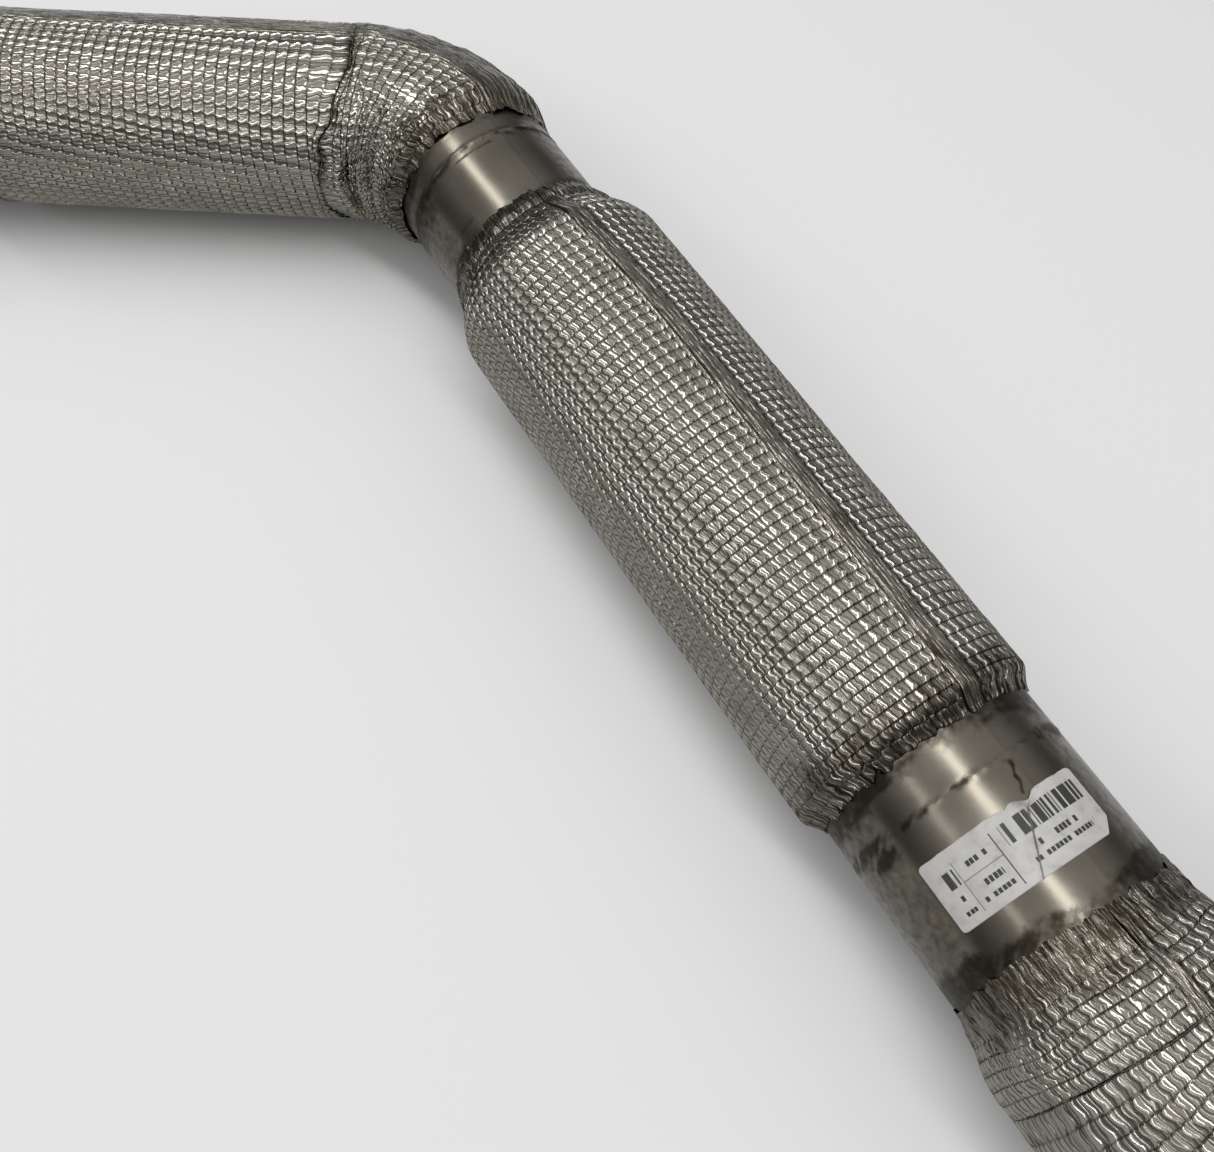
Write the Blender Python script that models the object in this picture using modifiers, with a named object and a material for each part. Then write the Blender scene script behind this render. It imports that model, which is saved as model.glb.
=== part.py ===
"""Insulated exhaust pipe: a welded stainless tube with two bends, wrapped in foil heat jackets.

Every length is in metres. The pipe lies flat, so its centre line is level, and it runs from
the inlet flange along +X, turns right, runs along a slanting middle leg, and turns left again
to the outlet flange, which also faces +X. Left and right are those of the exhaust gas.
The origin is on the floor, under the middle of the whole pipe.
"""
import math

import bmesh
import bpy
from mathutils import Matrix, Vector

OBJECT_NAME = "insulated_exhaust_pipe"
INCH = 0.0254
MM = 0.001

# Tube: 3.5 inch upstream, 4 inch downstream, 16 gauge wall
SMALL_R = 3.5 * INCH / 2
LARGE_R = 4.0 * INCH / 2
WALL = 1.65 * MM

# Jackets: foil shells over a quarter inch of insulation
SMALL_JACKET_R = SMALL_R + 0.25 * INCH
LARGE_JACKET_R = LARGE_R + 0.25 * INCH
FOIL = 0.8 * MM
GAP = 0.3 * MM
COLLAR_LIFT = 1.35 * MM

# Route: each bend's radius equals its tube's diameter
BEND = math.radians(54)
FRONT_BEND_R = 3.5 * INCH
REAR_BEND_R = 4.0 * INCH
FRONT_TANGENT = FRONT_BEND_R * math.tan(BEND / 2)
REAR_TANGENT = REAR_BEND_R * math.tan(BEND / 2)
INLET_LEG = 305 * MM
MIDDLE_LEG = 614.3 * MM
OUTLET_LEG = 205 * MM

# Welds and jacket ends, measured from the corner where two leg axes cross
INLET_WELD = 70 * MM
FRONT_WELD = 61.5 * MM
CONE_START = 170 * MM
CONE_END = 210 * MM
REAR_WELD = 452 * MM
OUTLET_WELD = 75 * MM
FLANGE_DEPTH = 14 * MM
LABEL_START = 468 * MM
LABEL_END = 497.5 * MM
LABEL_FROM = math.radians(-33)
LABEL_TO = math.radians(51)

LABEL_LIFT = 0.7 * MM
PAPER = 0.2 * MM

# Jackets: joints, collars and shoulders, measured from the nearest corner behind or ahead
FRONT_JOINT = 47 * MM
REAR_JOINT = 560.5 * MM
OUTLET_JOINT = 54 * MM
INLET_COLLAR_START = 262 * MM
INLET_COLLAR_END = 256 * MM
INLET_FULL_START = 248 * MM
ELBOW_FULL_END = 36 * MM
ELBOW_COLLAR_END = 48 * MM
MIDDLE_COLLAR_START = 107 * MM
MIDDLE_SHOULDER = 118 * MM
MIDDLE_SHOULDER_R = 50 * MM
MIDDLE_FULL_START = 136 * MM
MIDDLE_FULL_END = 424 * MM
MIDDLE_COLLAR_END = 430 * MM
REAR_COLLAR_START = 516 * MM
REAR_SHOULDER = 530 * MM
REAR_SHOULDER_R = 54 * MM
REAR_FULL_START = 552 * MM
OUTLET_FULL_END = 150 * MM
OUTLET_COLLAR_START = 158 * MM
OUTLET_COLLAR_END = 164 * MM

# Mats: they stop short of each jacket's shoulders
MAT_INSET = 2 * MM
REAR_MAT_START = 536 * MM
REAR_MAT_START_R = 53.4 * MM

# Round sections: one facet every 15 degrees, on every layer alike
SEGMENTS = 24
BEND_STEPS = 6
FRONT_SEAM = math.radians(-15)
REAR_SEAM = 0.0

SHARP_EDGE = math.radians(40)
MERGE_DISTANCE = 0.1 * MM

# Flanges: a flat sealing face with a 20 degree clamp cone behind it
SMALL_LIP_R = 51.4 * MM
LARGE_LIP_R = 56.9 * MM
LIP_THICKNESS = 3.0 * MM
HUB_RISE = 1.9 * MM
CONE_ANGLE = math.radians(20)

# The route's corners, in the object's frame
FLOOR_TO_AXIS = LARGE_JACKET_R
SPAN_X = INLET_LEG + MIDDLE_LEG * math.cos(BEND) + OUTLET_LEG
DROP_Y = MIDDLE_LEG * math.sin(BEND)
FRONT_CORNER = Vector((
    INLET_LEG - SPAN_X / 2,
    (DROP_Y + LARGE_JACKET_R - SMALL_LIP_R) / 2,
    FLOOR_TO_AXIS,
))
MIDDLE_DIRECTION = Vector((math.cos(BEND), -math.sin(BEND), 0))
REAR_CORNER = FRONT_CORNER + MIDDLE_LEG * MIDDLE_DIRECTION

COLOURS = {
    "foil": ((0.46, 0.45, 0.42), 0.32, 1.0),
    "tube": ((0.36, 0.34, 0.31), 0.36, 1.0),
    "flange": ((0.50, 0.48, 0.45), 0.30, 1.0),
    "mat": ((0.82, 0.80, 0.74), 0.95, 0.0),
    "label": ((0.80, 0.79, 0.77), 0.70, 0.0),
}


def clear_scene():
    for item in list(bpy.data.objects):
        bpy.data.objects.remove(item)


def new_collection():
    collection = bpy.data.collections.new(OBJECT_NAME)
    bpy.context.scene.collection.children.link(collection)
    return collection


def add_part(name, mesh, kind, place=None):
    """Puts the mesh in the object's collection, with a material of its own."""
    colour, roughness, metallic = COLOURS[kind]
    material = bpy.data.materials.new(name)
    material.use_nodes = True
    shader = material.node_tree.nodes["Principled BSDF"]
    shader.inputs["Base Color"].default_value = (*colour, 1)
    shader.inputs["Roughness"].default_value = roughness
    shader.inputs["Metallic"].default_value = metallic
    mesh.materials.append(material)
    part = bpy.data.objects.new(name, mesh)
    part.matrix_world = place or Matrix.Identity(4)
    COLLECTION.objects.link(part)
    return part


# ---- stations along the centre line ------------------------------------------------------

FRONT_BEND_START = INLET_LEG - FRONT_TANGENT
FRONT_BEND_END = FRONT_BEND_START + FRONT_BEND_R * BEND
REAR_BEND_START = FRONT_BEND_END + MIDDLE_LEG - FRONT_TANGENT - REAR_TANGENT
REAR_BEND_END = REAR_BEND_START + REAR_BEND_R * BEND
ROUTE_END = REAR_BEND_END + OUTLET_LEG - REAR_TANGENT


def inlet(distance):
    """The station on the inlet leg, at a distance before the front corner."""
    return INLET_LEG - distance


def middle(distance):
    """The station on the middle leg, at a distance after the front corner."""
    return FRONT_BEND_END + distance - FRONT_TANGENT


def outlet(distance):
    """The station on the outlet leg, at a distance after the rear corner."""
    return REAR_BEND_END + distance - REAR_TANGENT


def heading_frame(origin, heading):
    """A frame whose X runs downstream, at an angle to the right of +X, and whose Z is up."""
    return Matrix.Translation(origin) @ Matrix.Rotation(-heading, 4, "Z")


def frame_at(station):
    """The centre line's frame at a station, the length travelled from the inlet face."""
    x_axis = Vector((1, 0, 0))
    if station <= FRONT_BEND_START:
        return heading_frame(FRONT_CORNER - (INLET_LEG - station) * x_axis, 0)
    if station < FRONT_BEND_END:
        turned = (station - FRONT_BEND_START) / FRONT_BEND_R
        start = FRONT_CORNER - FRONT_TANGENT * x_axis
        offset = Vector((math.sin(turned), math.cos(turned) - 1, 0))
        return heading_frame(start + FRONT_BEND_R * offset, turned)
    if station <= REAR_BEND_START:
        along = station - FRONT_BEND_END + FRONT_TANGENT
        return heading_frame(FRONT_CORNER + along * MIDDLE_DIRECTION, BEND)
    if station < REAR_BEND_END:
        left = (REAR_BEND_END - station) / REAR_BEND_R
        end = REAR_CORNER + REAR_TANGENT * x_axis
        offset = Vector((-math.sin(left), 1 - math.cos(left), 0))
        return heading_frame(end + REAR_BEND_R * offset, left)
    return heading_frame(REAR_CORNER + (station - REAR_BEND_END + REAR_TANGENT) * x_axis, 0)


def bend_stations(first, last):
    """Evenly spaced stations strictly between first and last, through each bend between them."""
    found = []
    for start, end in ((FRONT_BEND_START, FRONT_BEND_END), (REAR_BEND_START, REAR_BEND_END)):
        for step in range(BEND_STEPS + 1):
            station = start + (end - start) * step / BEND_STEPS
            if first + MM < station < last - MM:
                found.append(station)
    return found


def with_bends(rings):
    """The rings (station, radius), with more put in between them wherever the route bends."""
    filled = [rings[0]]
    for (start, start_r), (end, end_r) in zip(rings, rings[1:]):
        for station in bend_stations(start, end):
            share = (station - start) / (end - start)
            filled.append((station, start_r + share * (end_r - start_r)))
        filled.append((end, end_r))
    return filled


# ---- swept shapes ------------------------------------------------------------------------

def ring_place(station, radius):
    return frame_at(station) @ Matrix.Scale(radius, 4)


def sweep(rings, start_angle=0.0, end_angle=None, closed_profile=False):
    """Extrudes a unit ring, or an arc of it, through the rings (station, radius).

    Angles are taken from straight up, towards the right. A closed profile joins its last ring
    to its first, which makes a thick sleeve.
    """
    whole = end_angle is None
    span = math.tau if whole else end_angle - start_angle
    steps = SEGMENTS if whole else max(round(SEGMENTS * span / math.tau), 1)
    shape = bmesh.new()
    verts = []
    for step in range(steps if whole else steps + 1):
        angle = start_angle + span * step / steps
        verts.append(shape.verts.new((0, -math.sin(angle), math.cos(angle))))
    edges = [shape.edges.new(pair) for pair in zip(verts, verts[1:])]
    if whole:
        edges.append(shape.edges.new((verts[-1], verts[0])))
    place = ring_place(*rings[0])
    bmesh.ops.transform(shape, matrix=place, verts=shape.verts)
    first = list(edges)
    for ring in rings[1:]:
        step_on = ring_place(*ring) @ place.inverted()
        grown = bmesh.ops.extrude_edge_only(shape, edges=edges)["geom"]
        edges = [item for item in grown if isinstance(item, bmesh.types.BMEdge)]
        moved = [item for item in grown if isinstance(item, bmesh.types.BMVert)]
        edges = [edge for edge in edges if edge.verts[0] in moved and edge.verts[1] in moved]
        bmesh.ops.transform(shape, matrix=step_on, verts=moved)
        place = ring_place(*ring)
    if closed_profile:
        bmesh.ops.bridge_loops(shape, edges=first + edges)
    bmesh.ops.recalc_face_normals(shape, faces=shape.faces)
    mesh = bpy.data.meshes.new("swept")
    shape.to_mesh(mesh)
    shape.free()
    return mesh


def face_outward(mesh, rings):
    """Turns an open swept sheet over if its first face looks towards the centre line."""
    face = mesh.polygons[0]
    centre = frame_at((rings[0][0] + rings[1][0]) / 2).translation
    if face.normal.dot(face.center - centre) < 0:
        mesh.flip_normals()


def thicken(part, thickness):
    solidify = part.modifiers.new("wall", "SOLIDIFY")
    solidify.thickness = thickness
    solidify.offset = -1
    solidify.use_even_offset = True


def finish_round(mesh):
    mesh.shade_smooth()
    mesh.set_sharp_from_angle(angle=SHARP_EDGE)


def add_tube(name, rings):
    """A length of tube: its outer surface swept along the route, with the wall inside it."""
    rings = with_bends(rings)
    mesh = sweep(rings)
    face_outward(mesh, rings)
    finish_round(mesh)
    part = add_part(name, mesh, "tube")
    thicken(part, WALL)
    return part


def add_shells(name, rings, seam):
    """The two foil half shells of one jacket, which meet at the seam and opposite it."""
    rings = with_bends(rings)
    slit = GAP / 2 / min(radius for station, radius in rings)
    for side, start in (("right", seam), ("left", seam + math.pi)):
        mesh = sweep(rings, start + slit, start + math.pi - slit)
        face_outward(mesh, rings)
        finish_round(mesh)
        part = add_part(f"{name}_{side}_shell", mesh, "foil")
        thicken(part, FOIL)


def add_mat(name, outer, inner):
    """A sleeve of insulation between the rings of its outer and inner surfaces."""
    loop = with_bends(outer) + list(reversed(with_bends(inner)))
    mesh = sweep(loop, closed_profile=True)
    finish_round(mesh)
    add_part(name, mesh, "mat")


def add_flange(name, station, outward, tube_r, lip_r):
    """A V-band flange, turned about its own axis, with its neck welded to the tube's end."""
    hub_r = tube_r + HUB_RISE
    cone_depth = LIP_THICKNESS + (lip_r - hub_r) * math.tan(CONE_ANGLE)
    profile = [
        (lip_r, 0),
        (lip_r, -LIP_THICKNESS),
        (hub_r, -cone_depth),
        (tube_r, -cone_depth - 2 * HUB_RISE),
        (tube_r, -FLANGE_DEPTH),
        (tube_r - WALL, -FLANGE_DEPTH),
        (tube_r - WALL, 0),
    ]
    mesh = bpy.data.meshes.new(name)
    corners = [(radius, 0, depth) for radius, depth in profile]
    sides = [(at, (at + 1) % len(profile)) for at in range(len(profile))]
    mesh.from_pydata(corners, sides, [])
    turn = Matrix.Rotation(outward * math.pi / 2, 4, "Y")
    part = add_part(name, mesh, "flange", frame_at(station) @ turn)
    screw = part.modifiers.new("turned", "SCREW")
    screw.axis = "Z"
    screw.steps = SEGMENTS
    screw.render_steps = SEGMENTS
    screw.use_merge_vertices = True
    screw.merge_threshold = MERGE_DISTANCE
    screw.use_smooth_shade = False
    return part


# ---- the pieces --------------------------------------------------------------------------

def add_tubes():
    half_gap = GAP / 2
    add_tube("inlet_tube", [
        (FLANGE_DEPTH + GAP, SMALL_R),
        (inlet(INLET_WELD) - half_gap, SMALL_R),
    ])
    add_tube("front_elbow_tube", [
        (inlet(INLET_WELD) + half_gap, SMALL_R),
        (middle(FRONT_WELD) - half_gap, SMALL_R),
    ])
    add_tube("middle_tube", [
        (middle(FRONT_WELD) + half_gap, SMALL_R),
        (middle(CONE_START) - half_gap, SMALL_R),
    ])
    add_tube("expander_cone", [
        (middle(CONE_START) + half_gap, SMALL_R),
        (middle(CONE_END) - half_gap, LARGE_R),
    ])
    add_tube("label_tube", [
        (middle(CONE_END) + half_gap, LARGE_R),
        (middle(REAR_WELD) - half_gap, LARGE_R),
    ])
    add_tube("rear_elbow_tube", [
        (middle(REAR_WELD) + half_gap, LARGE_R),
        (outlet(OUTLET_WELD) - half_gap, LARGE_R),
    ])
    add_tube("outlet_tube", [
        (outlet(OUTLET_WELD) + half_gap, LARGE_R),
        (ROUTE_END - FLANGE_DEPTH - GAP, LARGE_R),
    ])


def add_jackets():
    """Six jackets in two insulated runs, each with a mat inside two foil half shells."""
    small_collar = SMALL_R + COLLAR_LIFT
    large_collar = LARGE_R + COLLAR_LIFT
    small_out = SMALL_JACKET_R - FOIL - GAP
    large_out = LARGE_JACKET_R - FOIL - GAP
    small_in = SMALL_R + GAP
    large_in = LARGE_R + GAP
    inlet_end = inlet(FRONT_JOINT) - GAP
    elbow_start = inlet(FRONT_JOINT) + GAP
    rear_end = middle(REAR_JOINT) - GAP
    rear_elbow_start = middle(REAR_JOINT) + GAP
    rear_elbow_end = outlet(OUTLET_JOINT) - GAP
    outlet_start = outlet(OUTLET_JOINT) + GAP

    add_shells("inlet_jacket", [
        (inlet(INLET_COLLAR_START), small_collar),
        (inlet(INLET_COLLAR_END), small_collar),
        (inlet(INLET_FULL_START), SMALL_JACKET_R),
        (inlet_end, SMALL_JACKET_R),
    ], FRONT_SEAM)
    mat_start = inlet(INLET_FULL_START) + MAT_INSET
    add_mat(
        "inlet_mat",
        [(mat_start, small_out), (inlet_end, small_out)],
        [(mat_start, small_in), (inlet_end, small_in)],
    )

    add_shells("front_elbow_jacket", [
        (elbow_start, SMALL_JACKET_R),
        (middle(ELBOW_FULL_END), SMALL_JACKET_R),
        (middle(ELBOW_COLLAR_END), small_collar),
    ], FRONT_SEAM)
    mat_end = middle(ELBOW_FULL_END) - MAT_INSET
    add_mat(
        "front_elbow_mat",
        [(elbow_start, small_out), (mat_end, small_out)],
        [(elbow_start, small_in), (mat_end, small_in)],
    )

    add_shells("middle_jacket", [
        (middle(MIDDLE_COLLAR_START), small_collar),
        (middle(MIDDLE_SHOULDER), MIDDLE_SHOULDER_R),
        (middle(MIDDLE_FULL_START), LARGE_JACKET_R),
        (middle(MIDDLE_FULL_END), LARGE_JACKET_R),
        (middle(MIDDLE_COLLAR_END), large_collar),
    ], FRONT_SEAM)
    mat_start = middle(MIDDLE_FULL_START) + MAT_INSET
    mat_end = middle(MIDDLE_FULL_END) - MAT_INSET
    add_mat(
        "middle_mat",
        [(mat_start, large_out), (mat_end, large_out)],
        [
            (mat_start, small_in),
            (middle(CONE_START) - MM, small_in),
            (middle(CONE_END) - MM, large_in),
            (mat_end, large_in),
        ],
    )

    add_shells("rear_jacket", [
        (middle(REAR_COLLAR_START), large_collar),
        (middle(REAR_SHOULDER), REAR_SHOULDER_R),
        (middle(REAR_FULL_START), LARGE_JACKET_R),
        (rear_end, LARGE_JACKET_R),
    ], REAR_SEAM)
    add_mat(
        "rear_mat",
        [
            (middle(REAR_MAT_START), REAR_MAT_START_R),
            (middle(REAR_FULL_START) + MM, large_out),
            (rear_end, large_out),
        ],
        [(middle(REAR_MAT_START), large_in), (rear_end, large_in)],
    )

    add_shells("rear_elbow_jacket", [
        (rear_elbow_start, LARGE_JACKET_R),
        (rear_elbow_end, LARGE_JACKET_R),
    ], REAR_SEAM)
    add_mat(
        "rear_elbow_mat",
        [(rear_elbow_start, large_out), (rear_elbow_end, large_out)],
        [(rear_elbow_start, large_in), (rear_elbow_end, large_in)],
    )

    add_shells("outlet_jacket", [
        (outlet_start, LARGE_JACKET_R),
        (outlet(OUTLET_FULL_END), LARGE_JACKET_R),
        (outlet(OUTLET_COLLAR_START), large_collar),
        (outlet(OUTLET_COLLAR_END), large_collar),
    ], REAR_SEAM)
    mat_end = outlet(OUTLET_FULL_END) - MAT_INSET
    add_mat(
        "outlet_mat",
        [(outlet_start, large_out), (mat_end, large_out)],
        [(outlet_start, large_in), (mat_end, large_in)],
    )


def add_label():
    """The paper part label, wrapped round the bare band before the rear jackets."""
    outside = LARGE_R + LABEL_LIFT
    rings = [(middle(LABEL_START), outside), (middle(LABEL_END), outside)]
    mesh = sweep(rings, LABEL_FROM, LABEL_TO)
    face_outward(mesh, rings)
    finish_round(mesh)
    part = add_part("part_label", mesh, "label")
    thicken(part, PAPER)


clear_scene()
COLLECTION = new_collection()
add_flange("inlet_flange", 0, -1, SMALL_R, SMALL_LIP_R)
add_flange("outlet_flange", ROUTE_END, 1, LARGE_R, LARGE_LIP_R)
add_tubes()
add_jackets()
add_label()
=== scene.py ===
"""Looks of the insulated exhaust pipe: embossed foil jackets, stained bare tube and paper label.

The pipe's pieces are skins swept along its centre line. A skin's points are given by three
numbers: the station, which is the distance travelled along the centre line from the inlet face;
the angle round it, from straight up towards the right; and the radius. All lengths are metres
where nothing else is said.
"""
import math

import bpy
import numpy as np
from mathutils import Matrix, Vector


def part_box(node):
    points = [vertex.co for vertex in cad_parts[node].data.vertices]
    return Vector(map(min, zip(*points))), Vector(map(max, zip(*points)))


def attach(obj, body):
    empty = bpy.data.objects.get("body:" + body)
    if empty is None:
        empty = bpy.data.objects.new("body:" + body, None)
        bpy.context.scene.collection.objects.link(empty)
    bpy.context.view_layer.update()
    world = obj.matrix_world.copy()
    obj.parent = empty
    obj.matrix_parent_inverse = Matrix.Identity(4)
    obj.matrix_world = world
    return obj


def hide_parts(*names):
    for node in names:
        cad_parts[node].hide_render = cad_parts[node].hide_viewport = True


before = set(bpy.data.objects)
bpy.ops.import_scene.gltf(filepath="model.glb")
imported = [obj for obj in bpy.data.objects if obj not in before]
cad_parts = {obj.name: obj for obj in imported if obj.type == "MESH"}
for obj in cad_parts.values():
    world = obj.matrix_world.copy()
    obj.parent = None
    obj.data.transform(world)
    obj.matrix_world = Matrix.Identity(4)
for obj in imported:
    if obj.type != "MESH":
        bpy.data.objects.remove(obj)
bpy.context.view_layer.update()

MM = 0.001
INCH = 0.0254
BODY = "root"

# ---- the route, from the frame's flanges and the pipe's driving dimensions ----------------

INLET_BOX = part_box("inlet_flange")
OUTLET_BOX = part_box("outlet_flange")
BEND = math.radians(54)
SMALL_R = 3.5 * INCH / 2
LARGE_R = 4.0 * INCH / 2
WALL = 1.65 * MM
SMALL_JACKET_R = SMALL_R + 0.25 * INCH
LARGE_JACKET_R = LARGE_R + 0.25 * INCH
FRONT_BEND_R = 2 * SMALL_R
REAR_BEND_R = 2 * LARGE_R
FRONT_TANGENT = FRONT_BEND_R * math.tan(BEND / 2)
REAR_TANGENT = REAR_BEND_R * math.tan(BEND / 2)
INLET_FACE_X = INLET_BOX[0][0]
OUTLET_FACE_X = OUTLET_BOX[1][0]
INLET_Y = (INLET_BOX[0][1] + INLET_BOX[1][1]) / 2
OUTLET_Y = (OUTLET_BOX[0][1] + OUTLET_BOX[1][1]) / 2
AXIS_Z = (INLET_BOX[0][2] + INLET_BOX[1][2]) / 2
MIDDLE_LEG = (INLET_Y - OUTLET_Y) / math.sin(BEND)
INLET_LEG = 305 * MM
OUTLET_LEG = OUTLET_FACE_X - INLET_FACE_X - INLET_LEG - MIDDLE_LEG * math.cos(BEND)
FRONT_CORNER = np.array([INLET_FACE_X + INLET_LEG, INLET_Y, AXIS_Z])
MIDDLE_DIRECTION = np.array([math.cos(BEND), -math.sin(BEND), 0.0])
REAR_CORNER = FRONT_CORNER + MIDDLE_LEG * MIDDLE_DIRECTION
FRONT_BEND_START = INLET_LEG - FRONT_TANGENT
FRONT_BEND_END = FRONT_BEND_START + FRONT_BEND_R * BEND
REAR_BEND_START = FRONT_BEND_END + MIDDLE_LEG - FRONT_TANGENT - REAR_TANGENT
REAR_BEND_END = REAR_BEND_START + REAR_BEND_R * BEND
ROUTE_END = REAR_BEND_END + OUTLET_LEG - REAR_TANGENT


def inlet(distance):
    """The station on the inlet leg, at a distance in mm before the front corner."""
    return INLET_LEG - distance * MM


def middle(distance):
    """The station on the middle leg, at a distance in mm after the front corner."""
    return FRONT_BEND_END - FRONT_TANGENT + distance * MM


def outlet(distance):
    """The station on the outlet leg, at a distance in mm after the rear corner."""
    return REAR_BEND_END - REAR_TANGENT + distance * MM


def centre_line(station):
    """The centre line's points at an array of stations, and its headings, turned right of +X."""
    points = np.empty(station.shape + (3,))
    heading = np.empty(station.shape)
    x_axis = np.array([1.0, 0.0, 0.0])

    on = station <= FRONT_BEND_START
    points[on] = FRONT_CORNER + (station[on, None] - INLET_LEG) * x_axis
    heading[on] = 0

    on = (station > FRONT_BEND_START) & (station < FRONT_BEND_END)
    turned = (station[on] - FRONT_BEND_START) / FRONT_BEND_R
    offset = np.stack([np.sin(turned), np.cos(turned) - 1, 0 * turned], -1)
    points[on] = FRONT_CORNER - FRONT_TANGENT * x_axis + FRONT_BEND_R * offset
    heading[on] = turned

    on = (station >= FRONT_BEND_END) & (station <= REAR_BEND_START)
    along = station[on, None] - FRONT_BEND_END + FRONT_TANGENT
    points[on] = FRONT_CORNER + along * MIDDLE_DIRECTION
    heading[on] = BEND

    on = (station > REAR_BEND_START) & (station < REAR_BEND_END)
    left = (REAR_BEND_END - station[on]) / REAR_BEND_R
    offset = np.stack([-np.sin(left), 1 - np.cos(left), 0 * left], -1)
    points[on] = REAR_CORNER + REAR_TANGENT * x_axis + REAR_BEND_R * offset
    heading[on] = left

    on = station >= REAR_BEND_END
    points[on] = REAR_CORNER + (station[on, None] - REAR_BEND_END + REAR_TANGENT) * x_axis
    heading[on] = 0
    return points, heading


def skin_points(station, angle, radius):
    """Points in space of a skin, from arrays of the same shape."""
    points, heading = centre_line(station)
    across = radius * np.sin(angle)
    points[..., 0] -= across * np.sin(heading)
    points[..., 1] -= across * np.cos(heading)
    points[..., 2] += radius * np.cos(angle)
    return points


# ---- numbers ------------------------------------------------------------------------------

def ease(value):
    """Rises smoothly from 0 to 1 as the value does, and stays flat outside."""
    value = np.clip(value, 0, 1)
    return value * value * (3 - 2 * value)


def near(value, centre, spread):
    """1 where the value is at the centre, fading within about the spread to either side."""
    return np.exp(-((value - centre) / spread) ** 2)


def between(value, low, high, soft=8.0):
    """1 between the two limits, fading over a soft width at each."""
    return ease((value - low) / soft + 0.5) * ease((high - value) / soft + 0.5)


def half_turn(angle):
    """The same angle, brought between minus half a turn and half a turn."""
    return (angle + math.pi) % math.tau - math.pi


def hashed(i, j, seed):
    """A repeatable number from 0 to 1 for each pair of whole numbers."""
    # Any large factors with nothing in common serve here.
    mixed = np.sin(i * 127.1 + j * 311.7 + seed * 74.7) * 43758.5453
    return mixed - np.floor(mixed)


def noise(u, v, seed):
    """Smooth noise from -1 to 1, with one bump per unit."""
    i, j = np.floor(u), np.floor(v)
    fu, fv = ease(u - i), ease(v - j)
    low = hashed(i, j, seed) * (1 - fu) + hashed(i + 1, j, seed) * fu
    high = hashed(i, j + 1, seed) * (1 - fu) + hashed(i + 1, j + 1, seed) * fu
    return 2 * (low * (1 - fv) + high * fv) - 1


def rough_noise(u, v, seed):
    """Noise with finer noise on it."""
    return (noise(u, v, seed) + 0.5 * noise(2.1 * u, 2.1 * v, seed + 1)
            + 0.25 * noise(4.3 * u, 4.3 * v, seed + 2)) / 1.75


def patches(u, v, u_size, v_size, seed, kind=rough_noise):
    """Noise of a kind over a sheet, with bumps of a length and a width in mm."""
    return kind(u / (u_size * MM), v / (v_size * MM), seed)


def turned_patches(station, angle, long, turn, seed):
    """Noise over a tube, with bumps of a length along it and an arc round it, both in mm."""
    ring = LARGE_R / (turn * MM)
    return rough_noise(station / (long * MM) + ring * np.cos(angle), ring * np.sin(angle), seed)


def radius_at(station, rings):
    """The radius of a turned outline, eased between its rings (station, radius)."""
    radius = np.full(station.shape, rings[0][1])
    for (start, start_r), (end, end_r) in zip(rings, rings[1:]):
        share = ease((station - start) / (end - start))
        radius = np.where(station >= start, start_r + (end_r - start_r) * share, radius)
    return radius


# ---- meshes -------------------------------------------------------------------------------

def grid_faces(rows, columns, wrap=False):
    """Quads over a grid of points, closed on itself both ways if it wraps."""
    row = np.arange(rows if wrap else rows - 1)[:, None]
    column = np.arange(columns if wrap else columns - 1)[None, :]
    next_row = (row + 1) % rows
    next_column = (column + 1) % columns
    corners = [
        row * columns + column,
        row * columns + next_column,
        next_row * columns + next_column,
        next_row * columns + column,
    ]
    return np.stack(corners, -1).reshape(-1, 4)


def mesh_from(name, points, faces, values):
    """A smooth-shaded mesh of quads, with named values at its points."""
    mesh = bpy.data.meshes.new(name)
    points = points.reshape(-1, 3)
    mesh.vertices.add(len(points))
    mesh.vertices.foreach_set("co", points.astype(np.float32).ravel())
    mesh.loops.add(faces.size)
    mesh.loops.foreach_set("vertex_index", faces.astype(np.int32).ravel())
    mesh.polygons.add(len(faces))
    starts = np.arange(0, faces.size, 4, dtype=np.int32)
    mesh.polygons.foreach_set("loop_start", starts)
    mesh.update(calc_edges=True)
    mesh.validate()
    mesh.shade_smooth()
    for key, data in values.items():
        attribute = mesh.attributes.new(key, "FLOAT", "POINT")
        attribute.data.foreach_set("value", data.astype(np.float32).ravel())
    return mesh


def add_piece(name, mesh, material, node):
    """Shows the mesh as a piece that stands for the CAD node."""
    piece = bpy.data.objects.new(name, mesh)
    bpy.context.scene.collection.objects.link(piece)
    mesh.materials.append(material)
    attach(piece, BODY)
    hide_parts(node)


# ---- embossed foil ------------------------------------------------------------------------

# The pattern: crests that sway as they run along the pipe, one to each row. Thin grooves part
# the rows, and thin grooves across the rows part the waves. SWELL rounds the pads between the
# grooves, and LEAN slants them.
WAVE = 5.9 * MM
ROW = 5.45 * MM
SWAY = 0.8 * MM
CREST = 0.44 * MM
SWELL = 0.04 * MM
LEAN = 0.09 * MM
WAVE_GROOVE = 0.34 * MM
ROW_GROOVE = 0.24 * MM
# Half widths, as shares of a row or a wave.
CREST_SHARE = 0.105
WAVE_GROOVE_SHARE = 0.07
ROW_GROOVE_SHARE = 0.06
# Where the mesh's points lie, as shares of a row, of a wave and of the first edge's margin.
ROW_COLUMNS = np.array([0.0, 0.10, 0.26, 0.395, 0.45, 0.50, 0.55, 0.605, 0.77])
WAVE_STATIONS = np.array([0.0, 0.10, 0.27, 0.48, 0.69, 0.90])
MARGIN_COLUMNS = np.array([0.0, 0.12, 0.3, 0.5, 0.68, 0.82, 0.92])
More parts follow.
